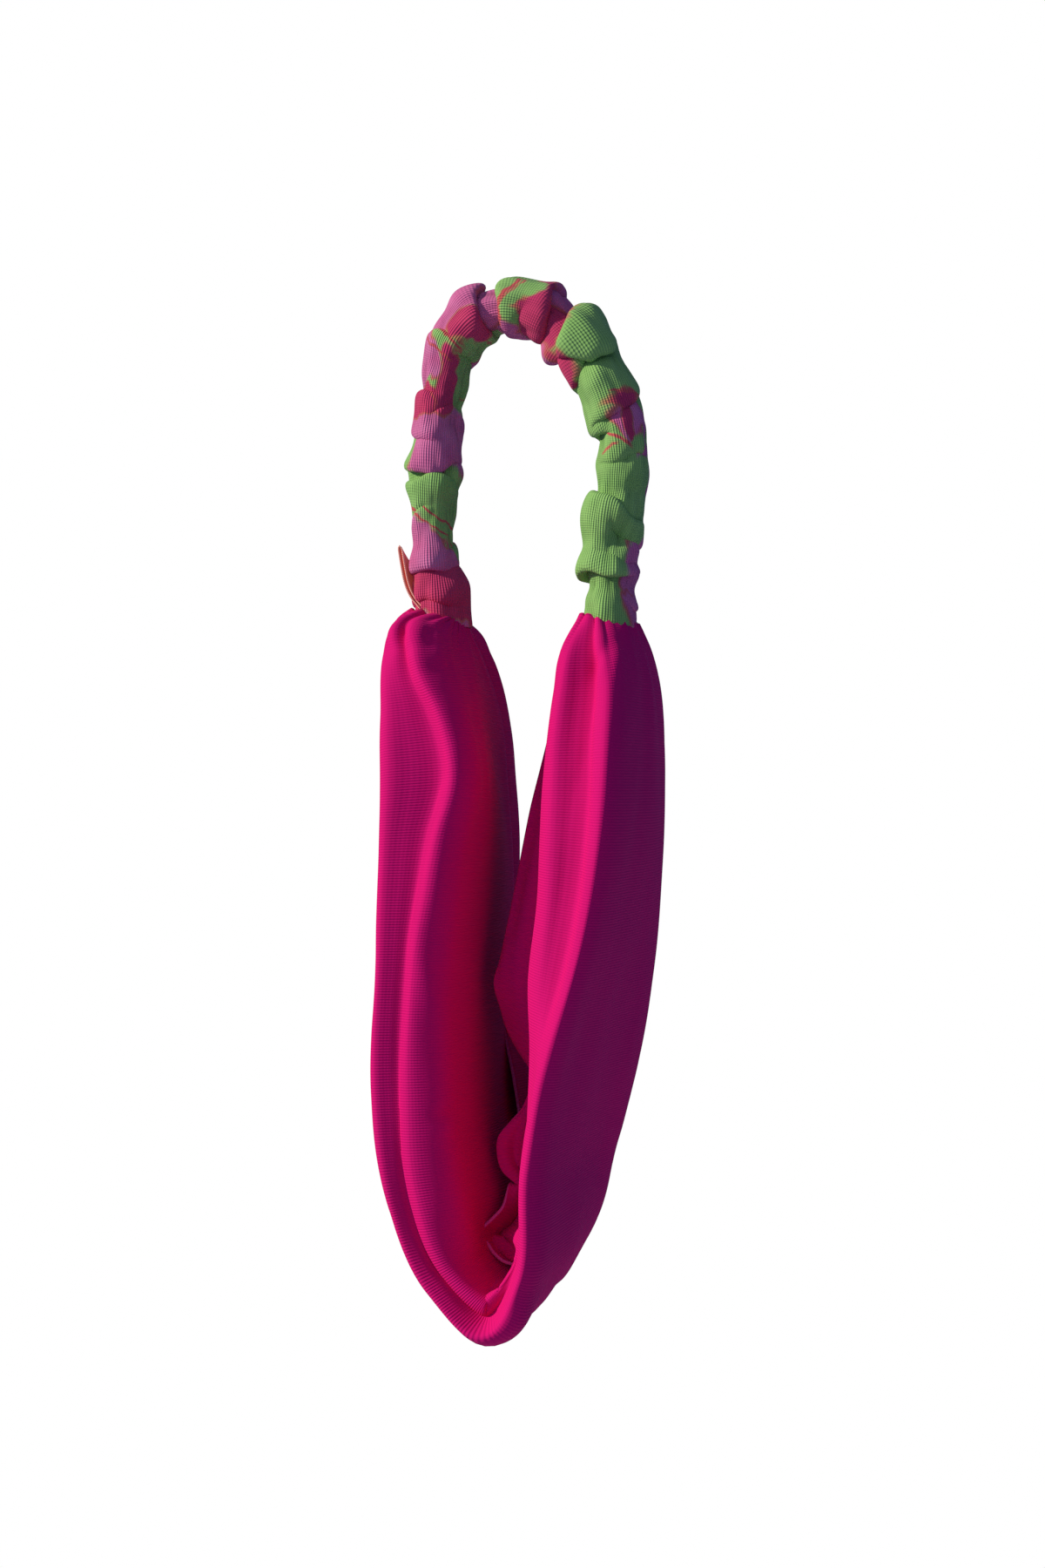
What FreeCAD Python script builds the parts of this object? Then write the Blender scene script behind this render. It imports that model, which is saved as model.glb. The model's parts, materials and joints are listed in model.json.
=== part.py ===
"""Sports headband with a gathered elastic back, stored hanging from a peg.

A wide strip of magenta jersey is the front band. Both of its long edges are folded to the inside of the
loop, and each end is drawn up into a round neck. A gathered tube of printed jersey joins the two necks
over the top. It holds a flat elastic, and a folded ribbon label is caught in its left seam.

Millimetres. +Z is up, +X is the viewer's right, and -Y is the near side. The origin is on the inner face of
the gathered tube at the top of its arch, where the headband rests on a peg.
"""

import FreeCAD
import Part

import math
import os

from FreeCAD import Vector

# Gathered back tube
casing_width = 13.0  # across the tube, along Y
casing_thickness = 11.0  # through the tube, in the plane of the loop
arch_radius = 22.6  # to the middle of the tube
leg_length = 45.0  # straight part of each leg, below the arch
left_lean = 0.5  # degrees that each leg leans in as it goes down
right_lean = 5.0

# Flat elastic and the sewing threads
elastic_width = 8.0
elastic_thickness = 1.2
thread_diameter = 0.4
thread_clearance = 0.25  # kept between a thread and the cloth beside it
join_gap = 1.0  # between the end of the tube and the neck of the band
join_stitches = 16
gather_stitches = 12
gather_depth = 3.0  # from the end of the neck to its gathering thread
tack_depth = 3.0  # from the end of the elastic to its tack
tack_length = 2.0
tack_wall = 0.4
tack_air = 0.05  # between a tack and the elastic that it wraps
hollow_clearance = 0.8  # between each edge of the elastic and the end of the tube's hollow

# Front band
band_width = 69.0  # folded, from the near fold to the far fold
band_drop = 155.5  # from the necks to the lowest point of the middle line
band_wall = 0.8
near_fold_radius = 5.4
far_fold_radius = 4.0
bottom_pinch = 0.25  # share of its thickness that the fold loses at the lowest point
pinch_length = 45.0  # to each side of the lowest point
flap_gap = 8.0  # between the two cut edges inside the fold
neck_flap_gap = 1.0
gather_length = 42.0  # over which the band opens from a neck to its full width
flare = 8.0  # degrees that the near fold stands further out than the far one, as far as the lowest point
station_count = 29
fold_points = 7

# The middle line of the band: (X from the neck, share of the drop) down each leg
left_route = [(3.2, 0.12), (5.8, 0.27), (6.7, 0.48), (6.9, 0.68), (8.6, 0.84), (12.6, 0.945)]
right_route = [(1.6, 0.12), (2.0, 0.27), (-0.4, 0.44), (-5.6, 0.62), (-9.4, 0.78), (-11.6, 0.93)]
bottom_shift = 1.4  # the lowest point lies this far right of half way between the necks

# Folded ribbon label
label_width = 10.0
label_length = 14.0
label_ply = 0.35
label_gap = 0.5  # between its two plies
label_place = 8.0  # degrees round the tube, from its left side towards the near side
label_lean = 23.0  # degrees that it leans away from the tube
label_clearance = 1.0  # from the tube to the middle of the label

casing_half_width = casing_width / 2
casing_half_thickness = casing_thickness / 2
arch_centre_z = casing_half_thickness - arch_radius


def at(x, z, y=0.0):
    return Vector(x, y, z)


def leg_points(side, lean):
    """The top and bottom of a leg's middle line. side is -1 on the left and 1 on the right."""
    angle = math.radians(lean)
    top = at(side * arch_radius * math.cos(angle), arch_centre_z - arch_radius * math.sin(angle))
    down = at(-side * math.sin(angle), -math.cos(angle))
    return top, top + down * leg_length, down


left_top, left_end, left_down = leg_points(-1, left_lean)
right_top, right_end, right_down = leg_points(1, right_lean)


def arch_path(shift=0.0):
    """The tube's middle line. shift moves it towards the inside of the loop."""
    crown = at(0, arch_centre_z + arch_radius - shift)
    left_in = Vector(-left_down.z, 0, left_down.x)
    right_in = Vector(right_down.z, 0, -right_down.x)
    a, b = left_end + left_in * shift, left_top + left_in * shift
    c, d = right_top + right_in * shift, right_end + right_in * shift
    edges = [
        Part.LineSegment(a, b).toShape(),
        Part.Arc(b, crown, c).toShape(),
        Part.LineSegment(c, d).toShape(),
    ]
    return Part.Wire(edges)


def swept(profile, path):
    """A solid of one closed profile along a path."""
    shell = path.makePipeShell([profile], True, False)
    return Part.Solid(shell) if shell.ShapeType == "Shell" else shell


def oval_profile(centre, across, half_y, half_n):
    """An oval wire around centre, half_y wide along Y and half_n along the direction across."""
    if half_y >= half_n:
        ellipse = Part.Ellipse(centre + Vector(0, half_y, 0), centre + across * half_n, centre)
    else:
        ellipse = Part.Ellipse(centre + across * half_n, centre + Vector(0, half_y, 0), centre)
    return Part.Wire(ellipse.toShape())


def flat_profile(centre, across, width, thickness):
    """A rectangle wire around centre, its width along Y and its thickness along the direction across."""
    y, n = Vector(0, width / 2, 0), across * (thickness / 2)
    corners = [centre + y + n, centre - y + n, centre - y - n, centre + y - n]
    return Part.makePolygon(corners + corners[:1])


left_across = Vector(-left_down.z, 0, left_down.x)  # from the left leg's middle line into the loop


seam_shift = elastic_thickness / 2 + tack_air + tack_wall + thread_clearance + thread_diameter / 2


def hollow_size():
    """The width and thickness of the tube's hollow: the elastic, with room for a thread past its tacks."""
    return elastic_width + 2 * hollow_clearance, 2 * (seam_shift + thread_diameter / 2 + thread_clearance)


def make_casing():
    outer = swept(oval_profile(left_end, left_across, casing_half_width, casing_half_thickness), arch_path())
    hollow = swept(flat_profile(left_end, left_across, *hollow_size()), arch_path())
    return outer.cut(hollow)


def make_elastic():
    return swept(flat_profile(left_end, left_across, elastic_width, elastic_thickness), arch_path())


def make_casing_seam():
    """The thread of the tube's long seam, which lies inside it on the inner side of the loop."""
    start = left_end + left_across * seam_shift
    profile = Part.Wire(Part.Circle(start, left_down, thread_diameter / 2).toShape())
    return swept(profile, arch_path(seam_shift))


def stitch(start, end):
    """A short length of thread, which covers most of the way from start to end."""
    way = end - start
    return Part.makeCylinder(thread_diameter / 2, way.Length * 0.7, start + way * 0.15, way)


def stitch_ring(centre, down, half_y, half_n, count):
    """A ring of separate stitches round an oval that is square to the direction down."""
    across = Vector(-down.z, 0, down.x)
    corners = []
    for i in range(count):
        angle = 2 * math.pi * i / count
        corners.append(centre + Vector(0, half_y * math.sin(angle), 0) + across * (half_n * math.cos(angle)))
    return Part.makeCompound([stitch(corners[i], corners[(i + 1) % count]) for i in range(count)])


def make_join_seam(end, down):
    """The stitches that join the tube to the band, in the gap between them."""
    inset = band_wall / 2
    middle = end + down * (join_gap / 2)
    return stitch_ring(middle, down, casing_half_width - inset, casing_half_thickness - inset, join_stitches)


def make_gather_thread(end, down):
    """The drawn thread inside the neck, which holds its pleats together."""
    inset = band_wall + thread_clearance + thread_diameter
    middle = end + down * (join_gap + gather_depth)
    return stitch_ring(middle, down, casing_half_width - inset, casing_half_thickness - inset, gather_stitches)


def make_elastic_tack(end, down):
    """A bar tack wrapped round the elastic near its end."""
    across = Vector(-down.z, 0, down.x)
    base = end - down * (tack_depth + tack_length)
    air, spare = 2 * tack_air, 2 * (tack_air + tack_wall)
    inner = flat_profile(base, across, elastic_width + air, elastic_thickness + air)
    outer = flat_profile(base, across, elastic_width + spare, elastic_thickness + spare)
    tack = Part.Face(outer).extrude(down * tack_length)
    return tack.cut(Part.Face(inner).extrude(down * tack_length))


def band_line():
    """The middle line of the band, from the left neck down and round to the right neck."""
    left = left_end + left_down * join_gap
    right = right_end + right_down * join_gap
    floor_z = (left.z + right.z) / 2 - band_drop
    points = [left]
    points += [at(left.x + x, left.z + share * (floor_z - left.z)) for x, share in left_route]
    points.append(at((left.x + right.x) / 2 + bottom_shift, floor_z))
    points += [at(right.x + x, right.z + share * (floor_z - right.z)) for x, share in reversed(right_route)]
    points.append(right)
    curve = Part.BSplineCurve()
    curve.interpolate(Points=points, InitialTangent=left_down, FinalTangent=right_down * -1)
    return curve


def opened(distance):
    """How far the band has opened from a neck: 0 at the neck and 1 past the gathers."""
    share = min(1.0, max(0.0, distance) / gather_length)
    return math.sin(share * math.pi / 2) ** 0.8


def mixed(neck, full, share):
    return neck + (full - neck) * share


def band_section(centre, along, share, turned, pinch):
    """The folded strip at one place, as points along its outer skin and points along its inner skin.

    It is a flat C whose two flaps face the inside of the loop. The points run from the near cut edge to the
    far one.
    """
    out = Vector(along.z, 0, -along.x)
    turn = FreeCAD.Rotation(along, turned * share)
    out, wide = turn.multVec(out), turn.multVec(Vector(0, 1, 0))
    half = mixed(casing_half_width, band_width / 2, share)
    near = mixed(casing_half_thickness, near_fold_radius, share) * pinch
    far = mixed(casing_half_thickness, far_fold_radius, share) * pinch
    near_y, far_y = near - half, half - far
    gap = mixed(neck_flap_gap, flap_gap, share) / 2

    def skin(inset):
        points = []
        for t in (0, 0.35, 0.7):
            y = mixed(-gap, near_y, t)
            points.append((inset - mixed(near, far, (y - near_y) / (far_y - near_y)), y))
        for i in range(fold_points):
            angle = math.pi * i / (fold_points - 1)
            points.append((-(near - inset) * math.cos(angle), near_y - (near - inset) * math.sin(angle)))
        for t in (0.15, 0.5, 0.85):
            points.append((mixed(near, far, t) - inset, mixed(near_y, far_y, t)))
        for i in range(fold_points):
            angle = math.pi * i / (fold_points - 1)
            points.append(((far - inset) * math.cos(angle), far_y + (far - inset) * math.sin(angle)))
        for t in (0.3, 0.65, 1):
            y = mixed(far_y, gap, t)
            points.append((inset - mixed(near, far, (y - near_y) / (far_y - near_y)), y))
        return [centre + out * n + wide * y for n, y in points]

    return skin(0.0), skin(band_wall)


def smooth_surface(rows):
    """A surface shaped by rows of control points: cubic, or straight between two rows."""
    degrees = [min(3, n - 1) for n in (len(rows), len(rows[0]))]
    knots = [list(range(n - d + 1)) for n, d in zip((len(rows), len(rows[0])), degrees)]
    mults = [[d + 1] + [1] * (len(k) - 2) + [d + 1] for k, d in zip(knots, degrees)]
    surface = Part.BSplineSurface()
    surface.buildFromPolesMultsKnots(rows, *mults, *knots, False, False, *degrees)
    return surface


def make_band():
    curve = band_line()
    length = curve.length()
    outer_rows, inner_rows = [], []
    for i in range(station_count):
        distance = length * i / (station_count - 1)
        u = curve.parameterAtDistance(distance, curve.FirstParameter)
        along = curve.tangent(u)[0]
        share = opened(min(distance, length - distance))
        turned = flare * min(1.0, 2 - 2 * distance / length)
        from_bottom = min(1.0, abs(distance - length / 2) / pinch_length)
        pinch = 1 - bottom_pinch * (0.5 + 0.5 * math.cos(math.pi * from_bottom))
        outer_row, inner_row = band_section(curve.value(u), along, share, turned, pinch)
        outer_rows.append(outer_row)
        inner_rows.append(inner_row)
    outer_columns, inner_columns = list(zip(*outer_rows)), list(zip(*inner_rows))
    faces = [smooth_surface(rows).toShape() for rows in (outer_rows, inner_rows)]
    for outer, inner in ((outer_rows, inner_rows), (outer_columns, inner_columns)):
        for k in (0, -1):
            faces.append(smooth_surface([outer[k], inner[k]]).toShape())
    shell = Part.makeShell(faces)
    shell.sewShape()
    band = Part.makeSolid(shell)
    if band.Volume < 0:
        band.reverse()
    return band


def label_frame():
    """The label's base line: its middle, its direction, and the direction in which the label stands."""
    angle = math.radians(label_place)
    side = Vector(-casing_half_thickness * math.cos(angle), -casing_half_width * math.sin(angle), 0)
    outward = Vector(-math.cos(angle) / casing_half_thickness, -math.sin(angle) / casing_half_width, 0)
    outward.normalize()
    base = left_end + left_down * (join_gap / 2) + side + outward * label_clearance
    along = Vector(0, 0, 1).cross(outward)
    lean = math.radians(label_lean)
    stands = Vector(0, 0, math.cos(lean)) + outward * math.sin(lean)
    return base, along, stands


def make_label():
    """A ribbon folded in half: two plies that meet in a round fold at the top."""
    base, along, stands = label_frame()
    face = stands.cross(along)
    if face.x > 0:
        face = face * -1

    def place(height, out):
        return base - along * (label_width / 2) + stands * height + face * (out + label_gap / 2 + label_ply)

    outer, inner = label_gap / 2 + label_ply, label_gap / 2
    straight = label_length - outer
    edges = [
        Part.LineSegment(place(0, outer), place(straight, outer)).toShape(),
        Part.Arc(place(straight, outer), place(straight + outer, 0), place(straight, -outer)).toShape(),
        Part.LineSegment(place(straight, -outer), place(0, -outer)).toShape(),
        Part.LineSegment(place(0, -outer), place(0, -inner)).toShape(),
        Part.LineSegment(place(0, -inner), place(straight, -inner)).toShape(),
        Part.Arc(place(straight, -inner), place(straight + inner, 0), place(straight, inner)).toShape(),
        Part.LineSegment(place(straight, inner), place(0, inner)).toShape(),
        Part.LineSegment(place(0, inner), place(0, outer)).toShape(),
    ]
    return Part.Face(Part.Wire(edges)).extrude(along * label_width)


def solids():
    """Every separate piece, by its name."""
    return {
        "band_panel": make_band(),
        "casing_tube": make_casing(),
        "elastic_strip": make_elastic(),
        "casing_long_seam": make_casing_seam(),
        "label_ribbon": make_label(),
        "left_join_seam": make_join_seam(left_end, left_down),
        "right_join_seam": make_join_seam(right_end, right_down),
        "left_gather_thread": make_gather_thread(left_end, left_down),
        "right_gather_thread": make_gather_thread(right_end, right_down),
        "left_elastic_tack": make_elastic_tack(left_end, left_down),
        "right_elastic_tack": make_elastic_tack(right_end, right_down),
    }


os.makedirs("parts", exist_ok=True)
for name, shape in solids().items():
    shape.exportStep(f"parts/{name}.step")
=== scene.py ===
"""Looks of a sports headband: magenta jersey band, gathered printed elastic back, ribbon label."""

import json
import math

import bpy
import numpy as np
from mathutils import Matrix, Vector, noise


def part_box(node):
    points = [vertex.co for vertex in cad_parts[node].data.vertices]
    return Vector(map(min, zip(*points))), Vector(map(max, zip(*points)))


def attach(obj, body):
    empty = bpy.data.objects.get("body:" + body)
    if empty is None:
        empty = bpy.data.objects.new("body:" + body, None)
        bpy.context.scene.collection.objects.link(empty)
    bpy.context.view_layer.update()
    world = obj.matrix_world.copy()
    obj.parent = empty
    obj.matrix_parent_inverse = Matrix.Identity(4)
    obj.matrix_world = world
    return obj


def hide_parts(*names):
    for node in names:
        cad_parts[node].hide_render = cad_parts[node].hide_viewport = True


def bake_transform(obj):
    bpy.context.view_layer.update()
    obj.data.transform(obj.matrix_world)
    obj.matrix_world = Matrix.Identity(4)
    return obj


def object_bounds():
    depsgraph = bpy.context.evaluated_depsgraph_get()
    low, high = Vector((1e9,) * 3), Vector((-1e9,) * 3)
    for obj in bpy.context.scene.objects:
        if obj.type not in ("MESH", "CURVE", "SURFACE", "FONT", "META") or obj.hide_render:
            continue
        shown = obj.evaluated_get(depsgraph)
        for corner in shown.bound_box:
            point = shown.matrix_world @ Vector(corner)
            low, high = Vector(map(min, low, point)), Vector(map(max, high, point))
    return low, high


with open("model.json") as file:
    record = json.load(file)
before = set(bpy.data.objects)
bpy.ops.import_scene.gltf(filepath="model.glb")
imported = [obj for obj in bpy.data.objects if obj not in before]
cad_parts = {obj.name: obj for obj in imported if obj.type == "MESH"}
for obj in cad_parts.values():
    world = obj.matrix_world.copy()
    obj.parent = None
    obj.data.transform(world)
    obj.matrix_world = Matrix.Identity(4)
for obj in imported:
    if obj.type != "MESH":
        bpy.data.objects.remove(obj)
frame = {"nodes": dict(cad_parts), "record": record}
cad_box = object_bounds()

MM = 0.001

# ---------------------------------------------------------------- places, from the frame


def middle(node):
    """The middle of a node's box, in metres."""
    low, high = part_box(node)
    return (low + high) / 2


left_neck = middle("left_join_seam") / MM
right_neck = middle("right_join_seam") / MM
floor_z = (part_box("band_panel")[0] / MM).z + 3.45  # the band's middle line at its lowest point


# ---------------------------------------------------------------- smooth curves through chosen points


def through(knots, values, at):
    """Smooth values at the places `at`, through the given values at the given knots."""
    knots = np.asarray(knots, float)
    values = np.asarray(values, float)
    at = np.clip(at, knots[0], knots[-1])
    step = np.diff(knots)
    slope = np.diff(values, axis=0) / step[:, None]
    inner = slope[:-1] * step[1:, None] + slope[1:] * step[:-1, None]
    inner = inner / (step[:-1] + step[1:])[:, None]
    tangent = np.vstack([slope[:1], inner, slope[-1:]])
    i = np.clip(np.searchsorted(knots, at, side="right") - 1, 0, len(step) - 1)
    h = step[i]
    u = ((at - knots[i]) / h)[:, None]
    return (
        (1 + 2 * u) * (1 - u) ** 2 * values[i]
        + u * (1 - u) ** 2 * h[:, None] * tangent[i]
        + u * u * (3 - 2 * u) * values[i + 1]
        + u * u * (u - 1) * h[:, None] * tangent[i + 1]
    )


class Route:
    """A line in the XZ plane with a place and a direction at every distance along it."""

    def __init__(self, points, samples=600):
        points = np.asarray(points, float)
        rough = np.r_[0, np.cumsum(np.linalg.norm(np.diff(points, axis=0), axis=1))]
        fine = through(rough, points, np.linspace(0, rough[-1], samples))
        self.points = fine
        self.distance = np.r_[0, np.cumsum(np.linalg.norm(np.diff(fine, axis=0), axis=1))]
        self.length = self.distance[-1]

    def at(self, distance):
        """The places and directions (x, z) at some distances; it runs on straight past its ends."""
        distance = np.asarray(distance, float)
        inside = np.clip(distance, 0.5, self.length - 0.5)
        here = np.stack([np.interp(inside, self.distance, self.points[:, k]) for k in (0, 1)], 1)
        ahead = np.stack([np.interp(inside + 0.5, self.distance, self.points[:, k]) for k in (0, 1)], 1)
        behind = np.stack([np.interp(inside - 0.5, self.distance, self.points[:, k]) for k in (0, 1)], 1)
        along = ahead - behind
        along /= np.linalg.norm(along, axis=1)[:, None]
        here = here + along * (distance - inside)[:, None]
        return here, along


def grid_mesh(name, points, closed=False, uv=None):
    """A mesh from rows of points, in millimetres. Closed rows join their last point to their first."""
    rows, columns = points.shape[:2]
    mesh = bpy.data.meshes.new(name)
    wrap = columns if closed else columns - 1
    r, c = np.meshgrid(np.arange(rows - 1), np.arange(wrap), indexing="ij")
    n = (c + 1) % columns
    faces = np.stack([r * columns + c, r * columns + n, (r + 1) * columns + n, (r + 1) * columns + c], -1)
    mesh.from_pydata((points.reshape(-1, 3) * MM).tolist(), [], faces.reshape(-1, 4).tolist())
    if uv is not None:
        layer = mesh.uv_layers.new(name="cloth")
        u_wrap = np.where(c + 1 == columns, 1, 0)[..., None] * np.array([uv[2], 0]) if closed else 0
        flat = np.stack([uv[0], uv[1]], -1)
        corners = np.stack(
            [flat[r, c], flat[r, n] + u_wrap, flat[r + 1, n] + u_wrap, flat[r + 1, c]], 2
        )
        layer.data.foreach_set("uv", corners.reshape(-1).astype(np.float32))
    mesh.shade_smooth()
    piece = bpy.data.objects.new(name, mesh)
    bpy.context.scene.collection.objects.link(piece)
    return piece


def give_attribute(piece, name, values):
    """Stores one number for each point of a piece."""
    layer = piece.data.attributes.new(name, "FLOAT", "POINT")
    layer.data.foreach_set("value", np.asarray(values, np.float32).reshape(-1))


def thicken(piece, thickness, offset, rim=0):
    """Gives a sheet its thickness in millimetres, and its cut edges another of its materials."""
    wall = piece.modifiers.new("wall", "SOLIDIFY")
    wall.thickness = thickness * MM
    wall.offset = offset
    wall.material_offset_rim = rim
    shape = bpy.context.evaluated_depsgraph_get()
    mesh = bpy.data.meshes.new_from_object(piece.evaluated_get(shape))
    old = piece.data
    piece.modifiers.clear()
    piece.data = mesh
    bpy.data.meshes.remove(old)


# ---------------------------------------------------------------- finishes

# Metres from one row or rib of the knit to the next, and from one ridge of thread, elastic or ribbon to
# the next
BAND_COURSE = 0.00064
BAND_WALE = 0.00052
TUBE_COURSE = 0.0006
TUBE_WALE = 0.00053
THREAD_TWIST = 0.0004
ELASTIC_RIDGE = 0.0008
RIBBON_WEFT = 0.00035
RIBBON_WIDTH = 0.010
RIBBON_HALF = 0.0145  # half the length its weave is laid over

# Colours of the cloth, thread and ribbon
MAGENTA = (0.78, 0.004, 0.155)
CUT_EDGE = (0.84, 0.06, 0.30)
LEAF = (0.24, 0.50, 0.10), (0.42, 0.70, 0.19)
PETAL = (0.66, 0.07, 0.22), (0.93, 0.30, 0.50)
ROSE = (0.56, 0.03, 0.13), (0.84, 0.07, 0.15)
CORAL_LINE = (0.74, 0.11, 0.10)
RIBBON = (0.86, 0.15, 0.11), (0.95, 0.22, 0.15)
RIBBON_EDGE = (0.95, 0.40, 0.28)
ELASTIC_WHITE = (0.86, 0.86, 0.84)
THREADS = {
    "magenta_thread": (0.75, 0.03, 0.30),
    "coral_thread": (0.82, 0.16, 0.14),
    "white_thread": (0.85, 0.85, 0.83),
}


class Shade:
    """A shader value that can be added, multiplied and so on."""

    def __init__(self, finish, socket):
        self.finish = finish
        self.socket = socket

    def sums(self, operation, *values):
        return self.finish.node("ShaderNodeMath", {"operation": operation}, *values)

    def __add__(self, other):
        return self.sums("ADD", self, other)

    def __sub__(self, other):
        return self.sums("SUBTRACT", self, other)

    def __mul__(self, other):
        return self.sums("MULTIPLY", self, other)

    def sine(self):
        return self.sums("SINE", self)


class Finish:
    """A material with one main shader."""

    def __init__(self, name, **constants):
        self.material = bpy.data.materials.new(name)
        self.material.use_nodes = True
        self.tree = self.material.node_tree
        self.main = self.tree.nodes["Principled BSDF"]
        for socket, value in constants.items():
            self.main.inputs[socket.replace("_", " ")].default_value = value

    def node(self, kind, settings, *values, output=0, **named):
        """A node: its settings first, then its sockets in order or by name, and one of its outputs."""
        node = self.tree.nodes.new(kind)
        for key, value in settings.items():
            setattr(node, key, value)
        sockets = list(enumerate(values)) + [(k.replace("_", " "), v) for k, v in named.items()]
        for key, value in sockets:
            self.put(node.inputs[key], value)
        return Shade(self, node.outputs[output])

    def put(self, socket, value):
        if isinstance(value, Shade):
            self.tree.links.new(value.socket, socket)
        else:
            socket.default_value = value

    def feed(self, **inputs):
        for socket, value in inputs.items():
            self.put(self.main.inputs[socket.replace("_", " ")], value)

    def colour(self, share, first, second):
        """A mix of two colours: the first at share 0, the second at share 1."""
        mix = self.node("ShaderNodeMix", {"data_type": "RGBA"}, output=2)
        for key, value in ((0, share), (6, first), (7, second)):
            if isinstance(value, tuple):
                value = (*value, 1)
            self.put(mix.socket.node.inputs[key], value)
        return mix

    def cloth_place(self):
        """The place on the flat cloth, then its metres across and its metres along."""
        place = self.node("ShaderNodeUVMap", {"uv_map": "cloth"})
        across = self.node("ShaderNodeSeparateXYZ", {}, place, output=0)
        along = self.node("ShaderNodeSeparateXYZ", {}, place, output=1)
        return place, across, along

    def ribs(self, metres, pitch):
        """Ribs from -1 to 1, one for each pitch."""
        return (metres * (2 * math.pi / pitch)).sine()

    def bump(self, height, depth, strength=1.0):
        return self.node("ShaderNodeBump", {}, Height=height, Distance=depth, Strength=strength)


def magenta_jersey(name, colour, lift):
    """Knitted jersey with fine ribs across the band."""
    finish = Finish(name, Roughness=0.85, Sheen_Weight=0.03, Sheen_Roughness=0.4)
    finish.main.inputs["Specular IOR Level"].default_value = 0.1
    finish.main.inputs["Sheen Tint"].default_value = (1.0, 0.35, 0.75, 1)
    place, across, along = finish.cloth_place()
    courses = finish.ribs(along, BAND_COURSE)
    wales = finish.ribs(across, BAND_WALE)
    cloud = finish.node("ShaderNodeTexNoise", {}, Vector=place, Scale=90.0, Detail=3.0)
    shade = courses * 0.06 + wales * 0.008 + (cloud - 0.5) * 0.12 + 0.5
    dark = tuple(c * 0.80 for c in colour)
    light = (min(1, colour[0] * 1.12 + lift), colour[1] * 1.3 + lift, colour[2] * 1.16 + lift)
    finish.feed(
        Base_Color=finish.colour(shade, dark, light),
        Normal=finish.bump(courses * 0.6 + wales * 0.08 + cloud * 0.6, 0.00007),
    )
    return finish.material


def printed_jersey():
    """Ribbed jersey printed with petals and leaves."""
    finish = Finish("printed_jersey", Roughness=0.8, Sheen_Weight=0.05, Sheen_Roughness=0.5)
    finish.main.inputs["Specular IOR Level"].default_value = 0.15
    place, across, along = finish.cloth_place()
    wales = finish.ribs(across, TUBE_WALE)
    courses = finish.ribs(along, TUBE_COURSE)
    cloud = finish.node("ShaderNodeTexNoise", {}, Vector=place, Scale=160.0, Detail=4.0)
    petal_share = finish.node("ShaderNodeAttribute", {"attribute_name": "petal"}, output=2)
    rose_share = finish.node("ShaderNodeAttribute", {"attribute_name": "rose"}, output=2)
    line_share = finish.node("ShaderNodeAttribute", {"attribute_name": "line"}, output=2)
    print_colour = finish.colour(petal_share, finish.colour(cloud, *LEAF), finish.colour(cloud, *PETAL))
    print_colour = finish.colour(rose_share, print_colour, finish.colour(cloud, *ROSE))
    print_colour = finish.colour(line_share, print_colour, CORAL_LINE)
    dark = finish.node("ShaderNodeHueSaturation", {}, Value=0.72, Color=print_colour)
    rib = wales * 0.20 + courses * 0.05 + 0.78
    finish.feed(
        Base_Color=finish.colour(rib, dark, print_colour),
        Normal=finish.bump(wales * 0.7 + courses * 0.25 + cloud * 0.5, 0.00012),
    )
    return finish.material


def plain_finish(name, colour, pitch):
    """Thread or elastic: one colour with fine ridges."""
    finish = Finish(name, Roughness=0.7)
    finish.main.inputs["Specular IOR Level"].default_value = 0.3
    place = finish.node("ShaderNodeTexCoord", {}, output=3)
    ridges = finish.node(
        "ShaderNodeTexWave", {"wave_type": "BANDS", "bands_direction": "DIAGONAL"},
        Vector=place, Scale=1 / pitch / 20, Distortion=1.0,
    )
    dark = tuple(c * 0.75 for c in colour)
    finish.feed(Base_Color=finish.colour(ridges, dark, colour), Normal=finish.bump(ridges, 0.0001))
    return finish.material


# ---------------------------------------------------------------- the front band

# The band's middle line: (X from the neck, share of the drop) down each leg
LEFT_ROUTE = [(3.2, 0.12), (5.8, 0.27), (6.7, 0.48), (6.9, 0.68), (8.6, 0.84), (12.6, 0.945)]
RIGHT_ROUTE = [(1.6, 0.12), (2.0, 0.27), (-0.4, 0.44), (-5.6, 0.62), (-9.4, 0.78), (-11.6, 0.93)]
BOTTOM_SHIFT = 1.4

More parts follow.
